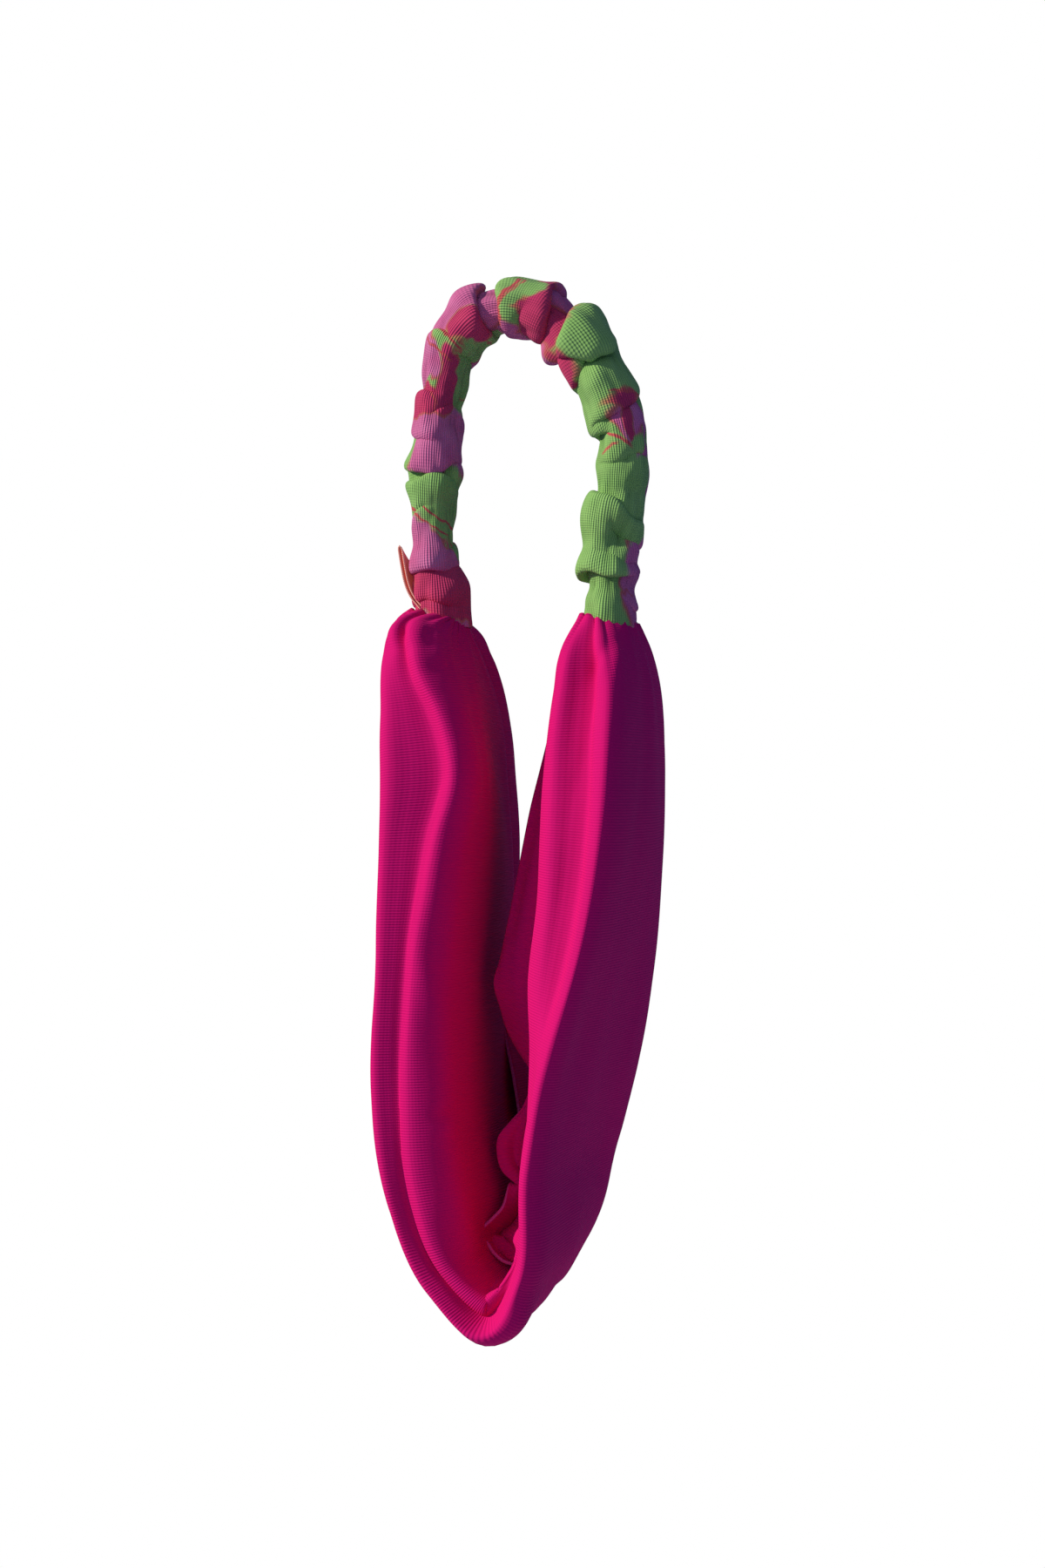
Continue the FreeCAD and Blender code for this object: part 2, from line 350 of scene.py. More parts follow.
# Lines of the folded cloth from the near cut edge to the far one. Each point is (share of the way from the
# left neck to the right one, millimetres out of the loop, millimetres across with the near side negative),
# and sometimes how many millimetres it is drawn ahead along the band.
BAND_LINES = [
    # near cut edge
    [(0, -5.5, -0.4), (0.03, -7, 4), (0.07, -6, 14), (0.12, -4, 20), (0.2, -3.4, 24), (0.34, -4.6, 22),
     (0.42, -8, 16), (0.47, -8.5, 8), (0.495, -6, -2), (0.5145, -2.2, -13, 4), (0.5245, -4.1, -17, 3.7),
     (0.5335, -7.4, -17, 0.4), (0.5415, -10.8, -17, -1.1), (0.5495, -13.8, -17, -1),
     (0.5575, -14.9, -17, -0.6),
     (0.5655, -14.3, -17, -0.1), (0.5725, -12.3, -16, 0.8), (0.5795, -10.5, -15, 1.5),
     (0.5875, -9.7, -13, 4.1), (0.5925, -9.4, -11, 1.7), (0.598, -6.8, -13, -0.5),
     (0.6035, -8.9, -14, -0.5),
     (0.6115, -11.4, -14, -1.2), (0.6195, -12.7, -14, -0.6), (0.6285, -12.7, -14, -0.2),
     (0.6375, -10.7, -14, 0.2), (0.6465, -8.4, -14, 0.6), (0.6555, -7.2, -14, 1.2), (0.6745, -6.5, -14),
     (0.687, -12.1, -10), (0.7, -15.6, -10), (0.714, -17.4, -12), (0.729, -19.1, -14), (0.748, -18.5, -14),
     (0.779, -18.3, -14), (0.8125, -18, -13), (0.8606, -16.3, -13), (0.8925, -14.4, -12),
     (0.926, -12.4, -10),
     (0.9515, -11.1, -8), (0.984, -8.6, -4), (1, -5.6, -0.4)],
    # hem beside the near cut edge
    [(0, -5.5, -1.2), (0.03, -7.2, 0), (0.07, -7, 8), (0.12, -5.5, 12), (0.2, -4.6, 16), (0.34, -5.4, 14),
     (0.42, -8.4, 10), (0.47, -9, 4), (0.495, -6.8, -5), (0.5145, -2.7, -13.5, 5), (0.5245, -4.8, -15, 3.8),
     (0.5335, -7.9, -14.5, 0.6), (0.5415, -10.8, -14, -0.9), (0.5495, -13.7, -13.5, -1.2),
     (0.5575, -14.7, -13.5, -1.4), (0.5655, -13.9, -13.5, -1.4), (0.5725, -11.6, -13, -0.2),
     (0.5795, -9.7, -12.5, 0.8), (0.5875, -8.3, -13, 2.5), (0.5985, -6.3, -13, 0.4),
     (0.6115, -10.1, -14, -0.4),
     (0.6195, -11.5, -14, -0.4), (0.6285, -11.5, -14, 0.1), (0.6465, -7.3, -14, 1), (0.678, -6, -15),
     (0.689, -10.3, -13), (0.703, -12.8, -13), (0.735, -17, -15.5), (0.78, -16.5, -15.5),
     (0.834, -15.7, -14),
     (0.8925, -12.7, -13.5), (0.951, -9.8, -9), (0.985, -7.6, -4.6), (1, -5.6, -1.2)],
    # hollow of the near flap
    [(0, -5.3, -2.2), (0.03, -7, -6), (0.074, -9.5, -10), (0.12, -11, -11), (0.2, -8.6, -9),
     (0.34, -7.5, -10),
     (0.42, -9, -6), (0.47, -8.5, -4), (0.5, -6.4, -12), (0.5145, -2.5, -17, 6), (0.5245, -3.4, -19, 5.3),
     (0.5335, -6.1, -17, 2.5), (0.5415, -8.8, -15, 1), (0.5495, -11.2, -13, -0.5),
     (0.5575, -12.8, -11, -1.8),
     (0.5655, -12.4, -10, -2), (0.5725, -10.6, -9, -1.5), (0.5795, -8.9, -9, -0.5),
     (0.5875, -7.1, -10, 0.2),
     (0.5985, -6.2, -11, 1.1), (0.6115, -8.6, -12), (0.6195, -9.2, -12, -0.2), (0.6285, -8.9, -13),
     (0.6465, -6, -15, 1.7), (0.682, -5.4, -18), (0.706, -9.9, -17), (0.738, -13.4, -18),
     (0.782, -14.5, -18),
     (0.8356, -13.2, -17.5), (0.893, -11.6, -16.5), (0.944, -9.4, -12), (0.98, -7.6, -7), (1, -5.5, -2)],
    # swell of the near flap
    [(0, -5, -3.2), (0.03, -6, -12.5), (0.074, -9.8, -17.5), (0.12, -12, -20), (0.16, -10.5, -21),
     (0.24, -7, -22), (0.34, -6, -22), (0.42, -7, -18), (0.46, -6.5, -13), (0.48, -6.5, -14),
     (0.5, -7.5, -19),
     (0.512, -5.5, -22, 2),
     (0.5245, 0, -25, 4), (0.5335, -1.3, -25, 4.1), (0.5415, -2.7, -25, 3.1), (0.5495, -3.8, -25, 2.1),
     (0.5575, -4.5, -25, 1.3), (0.5655, -4.6, -24, 1.2), (0.5725, -3.9, -23, 1), (0.5795, -3.1, -22, 1.4),
     (0.5875, -2.8, -21, 1.2), (0.5985, -2.8, -20, 0.9), (0.63, -4.4, -19), (0.68, -4.8, -22),
     (0.7, -6, -22), (0.74, -8.6, -21.5), (0.8, -9.6, -20.5), (0.87, -11, -19), (0.92, -10.4, -16),
     (0.95, -9.4, -12), (0.98, -7.8, -8.5), (1, -5.2, -3)],
    # inner shoulder of the second pleat
    [(0, -4.4, -4.2), (0.006, -3.6, -9.5), (0.03, -5, -17), (0.05, -6.5, -20), (0.074, -9.2, -23),
     (0.103, -11.5, -25), (0.12, -12, -26), (0.159, -9.5, -28), (0.2, -7, -29.5), (0.24, -5, -30.5),
     (0.34, -4, -31), (0.42, -5.2, -29), (0.45, -5, -27), (0.47, -4.2, -26), (0.49, -5, -25.4),
     (0.51, -6.4, -25),
     (0.53, -2.6, -27),
     (0.56, -2.8, -28), (0.62, -2.2, -27), (0.67, -3.4, -27), (0.7, -4.8, -26.6), (0.74, -7.8, -26),
     (0.8, -9.2, -25), (0.87, -10.6, -22.5), (0.917, -10, -19), (0.947, -9.2, -15.6), (0.978, -7.8, -11),
     (1, -4.7, -4)],
    # crest of the second pleat
    [(0, -3, -5.4), (0.006, -0.4, -12.6), (0.03, -0.4, -22.2), (0.05, -2, -25), (0.074, -5.4, -26.8),
     (0.103, -8, -28.9), (0.12, -8.6, -29.9), (0.159, -5, -32.2), (0.2, -2.4, -33.4), (0.24, 0.1, -33.9),
     (0.34, 1.8, -34.1), (0.42, 1, -33.5), (0.47, -2.2, -31.8), (0.51, -3.6, -31), (0.54, -2.4, -30.4),
     (0.58, -2, -30), (0.64, -1.8, -29.8), (0.68, -1.6, -30.4), (0.7, -2.4, -30.2), (0.74, -4.4, -29.8),
     (0.8, -5.6, -29), (0.87, -7, -27.2), (0.917, -7.2, -23.4), (0.947, -6.8, -19), (0.978, -5.8, -13.4),
     (1, -3.8, -5.2)],
    # outer shoulder of the second pleat
    [(0, -1.2, -6.1), (0.006, 1.4, -12.6), (0.018, 2, -18), (0.031, 1.4, -21.2), (0.047, -0.2, -24),
     (0.074, -3.8, -25.8), (0.103, -6.4, -28), (0.12, -6.8, -29), (0.135, -5.4, -30), (0.159, -3, -31.3),
     (0.195, -0.6, -32.5), (0.24, 1.9, -33.1), (0.29, 3.2, -33.3), (0.34, 3.6, -33.4), (0.42, 2.8, -32.6),
     (0.47, -0.7, -31.6), (0.51, -1.9, -30.4), (0.54, -1.4, -30.2), (0.58, -1.5, -31), (0.64, -1.2, -31.8),
     (0.68, -0.8, -32), (0.7, -1.4, -31.8), (0.74, -2.2, -30.6), (0.8, -2.4, -29), (0.87, -2.6, -26.8),
     (0.917, -3.2, -22.2), (0.947, -3.2, -17.4), (0.978, -3.4, -12.4), (1, -2.8, -5.8)],
    # valley
    [(0, 0.3, -5.6), (0.006, 2.4, -12), (0.018, 3, -17), (0.031, 2.3, -20.2), (0.05, 0.6, -23.6),
     (0.074, -2.2, -25.2), (0.103, -4.8, -27.4), (0.12, -5.2, -28.4), (0.159, -1.6, -30.8), (0.2, 0.8, -32),
     (0.24, 2.8, -32.6), (0.34, 4.4, -32.7), (0.42, 3.6, -31.9), (0.47, 0.3, -30.4), (0.51, -0.9, -29.4),
     (0.54, -1, -30.4), (0.58, -1, -32), (0.64, -0.8, -33), (0.68, -0.2, -33.4), (0.7, -0.5, -33),
     (0.74, 0.2, -31.2), (0.8, 1.2, -29.6), (0.87, 1.6, -27), (0.917, 0.8, -21.6), (0.947, 0.6, -16.4),
     (0.978, -0.6, -11.4), (1, -1.9, -6.1)],
    # inner shoulder of the near fold
    [(0, 1.6, -6.2), (0.006, 4, -12.4), (0.03, 4.6, -20.6), (0.074, 2.4, -26.8), (0.12, 1.2, -30.2),
     (0.159, 3.2, -32.1),
     (0.2, 4.4, -33.1), (0.24, 5.4, -33.5), (0.34, 6.8, -33.6), (0.42, 5.4, -33.2), (0.47, 2.2, -32.8),
     (0.51, 1.4, -32.6), (0.54, 0.4, -33.2), (0.58, -0.2, -34), (0.64, 0.1, -34.6), (0.68, 0.7, -34.8),
     (0.7, 1.2, -34.6), (0.74, 2.2, -34.2), (0.8, 3.4, -33.3), (0.87, 4, -31), (0.917, 3.4, -26.2),
     (0.947, 2.5, -20.4), (0.978, 0.4, -13.8), (1, -1, -6.2)],
    # front of the near fold
    [(0, 3.4, -5.3), (0.006, 5.6, -11.2), (0.03, 6.9, -19.8), (0.074, 6.6, -27.6), (0.12, 6.6, -31.4),
     (0.159, 7.6, -33), (0.24, 8.8, -34.2), (0.34, 9.6, -34.3), (0.42, 7.2, -34.1), (0.47, 3.9, -33.7),
     (0.51, 2.9, -34.4), (0.54, 1.8, -34.8), (0.58, 1.1, -35.2), (0.64, 1.4, -35.4), (0.68, 1.9, -35.4),
     (0.7, 2.5, -35.3), (0.74, 3.8, -35), (0.8, 5.2, -34), (0.87, 6, -32), (0.917, 5.6, -27.4),
     (0.947, 4.5, -21.3), (0.978, 2.2, -14.4), (1, -0.2, -6.3)],
    # outermost line of the near fold
    [(0, 5, -3), (0.006, 6.6, -8.6), (0.015, 7.6, -13.6), (0.03, 8.1, -18.4), (0.074, 8.2, -25.4),
     (0.12, 8.4, -29), (0.159, 9.2, -30.8), (0.24, 10, -32.2), (0.34, 10.6, -32.2), (0.39, 9.6, -32.2),
     (0.425, 7.6, -32.2), (0.458, 5, -32.4), (0.497, 3.9, -32.8), (0.517, 5.2, -33.2), (0.537, 3.6, -33.4),
     (0.575, 2.5, -33.8), (0.617, 2.7, -34.1), (0.646, 2.5, -34.2), (0.68, 2.9, -34.2), (0.712, 4, -34),
     (0.756, 5.5, -33.5), (0.797, 6.5, -32.5), (0.837, 7, -31.5), (0.883, 7.3, -29.2), (0.917, 7.1, -25.6),
     (0.947, 5.9, -19.8), (0.978, 3.6, -13.2), (1, 0.8, -6.1)],
    # outer face, near part
    [(0, 5.8, -0.8), (0.006, 7.4, -3), (0.04, 8.6, -7), (0.12, 8.6, -15), (0.24, 9.6, -19),
     (0.34, 9.8, -19),
     (0.44, 6.8, -19), (0.5, 4.4, -19), (0.6, 3.6, -19), (0.7, 5, -19), (0.8, 7.2, -18), (0.88, 8.2, -14),
     (0.93, 8, -9), (0.97, 7, -6), (1, 5, -3.4)],
    # outer face, far part
    [(0, 5.2, 2), (0.04, 7, 8), (0.12, 5.4, 14), (0.24, 5.4, 15), (0.34, 5.4, 15), (0.44, 3, 15),
     (0.5, 0.6, 15), (0.6, 2.2, 15), (0.7, 5.2, 15), (0.8, 5.6, 15), (0.88, 6, 13), (0.96, 6.6, 8),
     (1, 5.6, 2)],
    # far fold, outer shoulder
    [(0, 4, 4.4), (0.04, 4.6, 17), (0.12, 3.2, 30), (0.24, 3.4, 31.5), (0.34, 3.4, 31.5),
     (0.44, 1, 31.5), (0.5, -1.8, 31.5), (0.55, -2, 31.5), (0.586, 0.4, 31.5), (0.627, 3.2, 31.5),
     (0.668, 4.8, 31.5), (0.7, 5.1, 31.5), (0.8, 3, 31.5),
     (0.88, 3, 29.5), (0.93, 3.6, 25), (0.96, 4.2, 20), (0.98, 4.8, 14.6), (1, 4.6, 7.4)],
    # far fold, back
    [(0, 1.5, 6), (0.04, 1, 19.5), (0.12, 1, 33.5), (0.24, 1.4, 34.6), (0.34, 1.2, 34.6),
     (0.44, -1, 34.6), (0.5, -3.6, 34.6), (0.55, -3.8, 34.6), (0.586, -1.4, 34.6), (0.627, 1.4, 34.6),
     (0.668, 3, 34.6), (0.7, 3.3, 34.6), (0.8, 1, 34.6),
     (0.88, 0.8, 32.5), (0.93, 1.2, 28), (0.96, 1.8, 22.6), (0.98, 2.2, 16.4), (1, 1.8, 8.2)],
    # far fold, inner shoulder
    [(0, -1.8, 5.8), (0.006, -3, 11), (0.03, -5, 16), (0.05, -5.2, 20), (0.085, -3.2, 28), (0.12, -2, 31.5),
     (0.24, -1.2, 32.8), (0.34, -1.4, 32.8), (0.44, -3.6, 32.8), (0.5, -5.2, 32.8), (0.6, -2.6, 32.8),
     (0.7, 0.8, 32.8), (0.8, -1, 32.8), (0.88, -1.6, 30.5), (0.96, -2.4, 19), (1, -1.6, 5.9)],
    # middle of the far flap
    [(0, -4.5, 3.6), (0.04, -6, 11), (0.12, -3.4, 23), (0.24, -3, 24), (0.3, -6, 21), (0.34, -8.6, 20),
     (0.42, -11, 19),
     (0.47, -11, 20), (0.5, -9, 21), (0.55, -7, 22), (0.62, -5, 22), (0.7, -3, 22), (0.8, -3, 22),
     (0.88, -2.6, 20), (0.96, -4.6, 11), (1, -4.2, 3.9)],
    # far cut edge
    [(0, -5.6, 1), (0.04, -5.4, 8), (0.12, -2.6, 14), (0.24, -2, 15), (0.3, -5, 12), (0.34, -7.6, 10),
     (0.42, -10, 9),
     (0.47, -10, 11), (0.5, -8, 12), (0.55, -6, 9), (0.62, -4.6, 8), (0.7, -3, 8), (0.8, -3, 8),
     (0.88, -3.4, 7),
     (0.96, -5.2, 3.5), (1, -5.4, 1.4)],
]
BAND_CUT = (0.150, 0.345)  # metres across and along, before it is folded and gathered
BAND_ROWS = 481
SPAN_COLUMNS = 6
NECK_SLANTS = 0.42, 0.28  # how far the left and right mouths lean, for each millimetre out of the loop
NECK_REACH = 6  # millimetres along the band before that lean is mostly gone


def band_route():
    """The band's middle line, from the left neck down and up to the right one."""
    drop = floor_z - (left_neck.z + right_neck.z) / 2
    points = [(left_neck.x, left_neck.z - 0.5)]
    points += [(left_neck.x + x, left_neck.z + share * drop) for x, share in LEFT_ROUTE]
    points.append(((left_neck.x + right_neck.x) / 2 + BOTTOM_SHIFT, floor_z))
    points += [(right_neck.x + x, right_neck.z + share * drop) for x, share in reversed(RIGHT_ROUTE)]
    points.append((right_neck.x, right_neck.z - 0.5))
    return Route(points)


# Swells and dents of the front layers: (X, Y, Z, height, reach along X, reach along Z, lean)
BAND_DENTS = [
    (-18.1, -20, -66.5, -1.1, 1.3, 2.2, 0.2), (-20.6, -19, -68, 0.7, 1.1, 3.4, -0.3),
    (-13, -26, -72.4, 0.8, 3.6, 2.2, 0), (-12, -28, -76.6, -1.1, 3.2, 1.3, -0.2),
    (-11.2, -29, -79.6, 0.4, 3.6, 1.8, -0.1), (-8.3, -33, -98.6, 0.5, 2.4, 7, 0.1),
    (-3.3, -30, -108, -0.5, 1.6, 15, 0.1), (-11.3, -33, -123.4, 0.6, 2.2, 9, 0.1),
    (-3.6, -29, -136.8, -0.6, 1.5, 14, -0.1), (-13.3, -33, -146.3, 0.6, 2.2, 8, -0.2),
    (-8.8, -32, -174.6, -0.7, 2.4, 1.5, 0.3), (-8.4, -32, -177.6, 0.5, 2.2, 1.6, 0.3),
    (-2.1, -27, -163, 0.6, 1.6, 12, 0.1), (24.8, -18, -72.7, 0.9, 1.2, 7, -0.1),
    (20.8, -14, -75.4, -0.7, 1.8, 4, 0.2), (15.2, -14, -94.6, 0.5, 1.4, 9, -0.1),
    (18.2, -20, -106.2, -0.6, 1.5, 9, 0.15), (15.2, -22, -121.5, 0.5, 1.3, 10, 0.1),
]


def band_dents(points):
    """Soft dents and swells where the folds of the band press on each other."""
    normal = facing(points)
    moves = np.zeros(points.shape)
    for x, y, z, height, reach_x, reach_z, lean in BAND_DENTS:
        down = points[..., 2] - z
        side = points[..., 0] - x - lean * down
        near = np.exp(-((side / reach_x) ** 2) - (down / reach_z) ** 2 - ((points[..., 1] - y) / 6) ** 2)
        front = np.where(normal[..., 1:2] < 0, 1, -1)
        moves += normal * front * (height * near)[..., None]
    return moves


def make_band():
    """One sheet of jersey through all its fold lines, drawn up at both necks."""
    route = band_route()
    shares = np.linspace(0, 1, BAND_ROWS)
    lines = []
    for line in BAND_LINES:
        places = [p[1:] if len(p) == 4 else (*p[1:], 0) for p in line]
        lines.append(through([p[0] for p in line], places, shares))
    lines = np.stack(lines, 1)
    columns = (len(BAND_LINES) - 1) * SPAN_COLUMNS + 1
    section = np.zeros((BAND_ROWS, columns, 3))
    width = np.zeros((BAND_ROWS, columns))
    for row in range(BAND_ROWS):
        gaps = np.linalg.norm(np.diff(lines[row], axis=0), axis=1) ** 0.7
        knots = np.r_[0, np.cumsum(gaps)]
        places = np.interp(np.linspace(0, len(knots) - 1, columns), np.arange(len(knots)), knots)
        section[row] = through(knots, lines[row], places)
        steps = np.linalg.norm(np.diff(section[row], axis=0), axis=1)
        width[row, 1:] = np.cumsum(steps)
        width[row] /= width[row, -1]
    width[:] = width[BAND_ROWS // 4 : -BAND_ROWS // 4].mean(0)
    here, along = route.at(shares * route.length)
    out = np.stack([along[:, 1], -along[:, 0]], 1)
    from_neck = np.minimum(shares, 1 - shares)[:, None] * route.length
    slant = np.where(shares < 0.5, *NECK_SLANTS)[:, None]
    ahead = section[..., 2] - slant * section[..., 0] * np.exp(-from_neck / NECK_REACH)
    points = np.zeros((BAND_ROWS, columns, 3))
    points[..., 0] = here[:, None, 0] + out[:, None, 0] * section[..., 0] + along[:, None, 0] * ahead
    points[..., 2] = here[:, None, 1] + out[:, None, 1] * section[..., 0] + along[:, None, 1] * ahead
    points[..., 1] = section[..., 1]
    u = width * BAND_CUT[0]
    v = np.repeat(shares[:, None] * BAND_CUT[1], columns, 1)
    points += soft_wrinkles(points, u, v, shares)
    points += band_dents(points)
    band = grid_mesh("front_band", points, uv=(u, v))
    band.data.materials.append(magenta_jersey("magenta_jersey", MAGENTA, 0.0))
    band.data.materials.append(magenta_jersey("cut_edge", CUT_EDGE, 0.02))
    thicken(band, 0.7, 0, rim=1)
    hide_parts("band_panel")
    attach(band, "band")


def facing(points):
    """Unit normals of a grid of points."""
    down = np.gradient(points, axis=0)
    side = np.gradient(points, axis=1)
    normal = np.cross(down, side)
    return normal / np.maximum(np.linalg.norm(normal, axis=2), 1e-9)[..., None]


def soft_wrinkles(points, u, v, shares):
    """Small moves of the cloth: drawn-up ripples at the necks and soft unevenness elsewhere."""
    normal = facing(points)
    from_neck = np.minimum(shares, 1 - shares) * BAND_CUT[1] / MM
    ripple = np.sin(u / MM * 2 * math.pi / 5.2 + np.sin(v / MM / 7))
    ripple = ripple * np.exp(-from_neck / 9)[:, None] * 0.35
    uneven = np.zeros(u.shape)
    for i in range(u.shape[0]):
        for j in range(u.shape[1]):
            a, b = u[i, j] / MM, v[i, j] / MM
            uneven[i, j] = (
                noise.noise(Vector((a / 14, b / 34, 3.7))) * 0.75
                + noise.noise(Vector((a / 6, b / 17, 9.1))) * 0.22
            )
    fade = np.clip(from_neck / 12, 0, 1)[:, None]
    return normal * (ripple + uneven * fade)[..., None]


# ---------------------------------------------------------------- the gathered tube

# The tube's middle line (X, Z), from the left seam over the arch to the right seam
TUBE_ROUTE = [
    (-22.2, -62.3), (-23.3, -49.8), (-23.9, -39.7), (-23.2, -29), (-22.4, -17.5), (-20.7, -7.5),
    (-16.8, 1.4), (-10, 6.4), (-2, 6.6), (6.4, 3), (14.3, -5.5), (19.6, -17), (21.9, -28), (21.4, -36.5),
    (19.4, -46), (18.9, -55), (18.6, -63.9),
]
# (distance along, half thickness in the loop's plane, half thickness along Y)
TUBE_SIZES = [
    (-1.5, 4.6, 5.4), (0.5, 5.1, 6.2), (4.6, 5.6, 6.6), (8.5, 5.2, 6.4), (11, 4.3, 6), (14, 3.9, 5.6),
    (19, 3.7, 5.2), (22.5, 4.0, 5.4), (25.5, 4.4, 5.8), (28, 4.9, 6.4), (31, 4.8, 6), (34.5, 5.2, 6.2),
    (38, 4.8, 6), (42, 4.9, 6), (46, 4.5, 5.8), (50, 4.0, 5.4), (54, 4.3, 5.6), (60, 5.3, 6.2),
    (66, 5.5, 6.4), (71, 5.7, 6.4), (75.4, 5.5, 5.8), (80, 5.7, 6.4), (84, 6, 6.4), (88, 6, 6.6),
    (92, 5.3, 6.4), (97, 6, 6.8), (101, 6.1, 7), (106, 5.4, 6.6), (111, 5.4, 6.4), (116, 5.6, 6.4),
    (121, 5.3, 6.2), (127, 5, 6), (133, 4.9, 6), (139, 5.7, 6.6), (143, 6, 6.8), (147, 5.4, 6.2),
    (150, 5.6, 6.6), (153, 5.8, 6.6), (157, 4.8, 5.8), (161, 5, 6), (163.2, 5.2, 6.2), (165, 4.8, 5.4),
]
# Swells and dents: (distance along, side in degrees, height, half length, half width in degrees)
SWELLS = [
    (5, 180, 1.3, 3.4, 55), (3, -100, 0.5, 2.4, 40), (13, -110, 0.9, 3.2, 55), (14, 0, -0.5, 4, 50),
    (28, 0, 0.5, 3, 55), (33.4, 0, 1.6, 2.8, 45), (31.8, 180, 1.6, 2, 45), (37, -120, 0.7, 3, 50),
    (41, 0, 0.8, 2.2, 45), (44, -140, -0.8, 2.6, 40), (48, 0, 0.4, 2, 50), (52, 180, 0.8, 4, 50),
    (57, -150, -0.6, 4, 50), (62, -20, 0.5, 3, 50), (69.4, 0, 1.1, 2, 60), (68, -110, 0.7, 3, 45),
    (80, 0, 0.3, 2, 60), (86.8, 0, 1.2, 1.6, 60), (90.5, -70, -1.2, 2, 50),
    (91.6, 0, -0.9, 1.8, 60), (95, -170, 2.8, 2.8, 50), (96.4, 0, 1.9, 2.4, 60), (101, 0, 0.6, 3, 60),
    (98.6, -80, 1.0, 2.4, 45),
    (99.6, -155, -1.3, 2.2, 40),
    (104.4, -80, -1.6, 2.2, 42), (108, -120, 0.6, 4, 50), (112, 0, 0.6, 4, 60), (119.5, -40, 0.5, 2.4, 40),
    (122.5, 180, -0.7, 2.6, 50), (129, 0, 0.7, 4, 60), (134.4, -60, -0.9, 2, 45),
    (140.4, 178, 1.6, 4.2, 55),
    (144.6, -58, -2.9, 4.2, 36), (147.5, 5, 1.1, 2, 45), (150.5, 170, 0.7, 3, 50), (153.6, 5, 1.2, 2, 45),
    (157, -150, -0.5, 2, 50), (156.6, -70, -1.1, 2.4, 60), (160, 5, 1.2, 2, 50),
    (161.5, 170, -0.7, 2, 50), (24, 100, 1.2, 3, 50),
    (46, 90, 1.2, 3, 50), (84, 90, 1.3, 3, 50), (103, 110, 1.2, 3, 50), (118, 90, -0.9, 3, 50),
    (132, 80, 1.2, 3, 50),
]
# Tucks: (distance along, lean towards the inner side, lean towards the back, overhang, step in radius,
# side it is deepest on in degrees, how far round it reaches from 0 to 1, 1 if the earlier rim lies on top
# or -1 if the later one does)
TUCKS = [
    (2.2, 0.6, 0.4, 0.6, 0.35, -60, 0.7, -1),
    (10.2, 0.2, 0.8, 1.5, 0.95, -100, 1.0, -1),
    (15.5, -1.6, 1.2, 0.7, 0.35, 150, 0.4, 1),
    (21.5, 2.2, -1.2, 0.7, 0.3, -40, 0.4, 1),
    (29.0, 0.6, -0.6, 1.3, 0.8, -90, 0.9, 1),
    (34.0, 0.8, 0.6, 1.6, 0.9, -110, 0.9, -1),
    (40.2, -1.8, 1.0, 1.2, 0.7, -20, 0.55, -1),
    (44.6, 1.6, -1.2, 0.9, 0.45, 190, 0.5, 1),
    (50.6, 0.4, 1.2, 1.3, 0.8, -10, 0.7, 1),
    (57.5, 3.6, -1.5, 0.8, 0.4, 170, 0.45, -1),
    (64.6, 2.6, 1.4, 1.1, 0.55, -30, 0.5, 1),
    (72.2, -0.6, 0.6, 1.5, 0.9, -80, 1.0, 1),
    (78.2, 0.2, -0.6, 1.6, 1.0, -90, 1.0, -1),
    (84.0, 0.4, 0.8, 0.4, 0.2, -150, 0.4, 1),
    (88.8, 1.4, -0.6, 1.1, 0.6, -70, 0.8, 1),
    (96.0, 2.0, -0.2, 1.5, 1.0, -80, 1.0, -1),
    (101.4, -2.2, -1.0, 1.2, 0.6, -90, 0.45, 1),
    (105.2, 2.8, 1.4, 1.8, 0.9, -80, 0.7, 1),
    (110.8, -0.8, 0.8, 0.5, 0.2, 100, 0.5, 1),
    (116.2, 2.6, -1.4, 1.3, 0.7, -50, 0.55, 1),
    (121.4, -0.8, 0.8, 1.3, 0.75, 190, 0.55, 1),
    (128.2, 1.2, 0.8, 0.5, 0.25, -60, 0.5, 1),
    (137.6, -2.4, -0.6, 1.5, 0.85, -100, 0.9, -1),
    (143.4, -3.0, 1.0, 1.1, 0.6, 0, 0.5, 1),
    (149.2, -1.0, 0.6, 0.7, 0.35, -40, 0.45, 1),
    (153.4, 0.4, 0.8, 1.9, 1.15, -100, 1.0, 1),
    (158.6, -1.6, -0.6, 1.0, 0.5, 20, 0.5, 1),
]
TUBE_RINGS = 760
TUBE_SIDES = 128
TUBE_CUT = (0.042, 0.235)  # metres round and along, before it is gathered
TUBE_FOOT = 1.5  # how far the tube's left end runs on into the band, in millimetres
TUBE_HEEL = 1.2  # the same at its right end


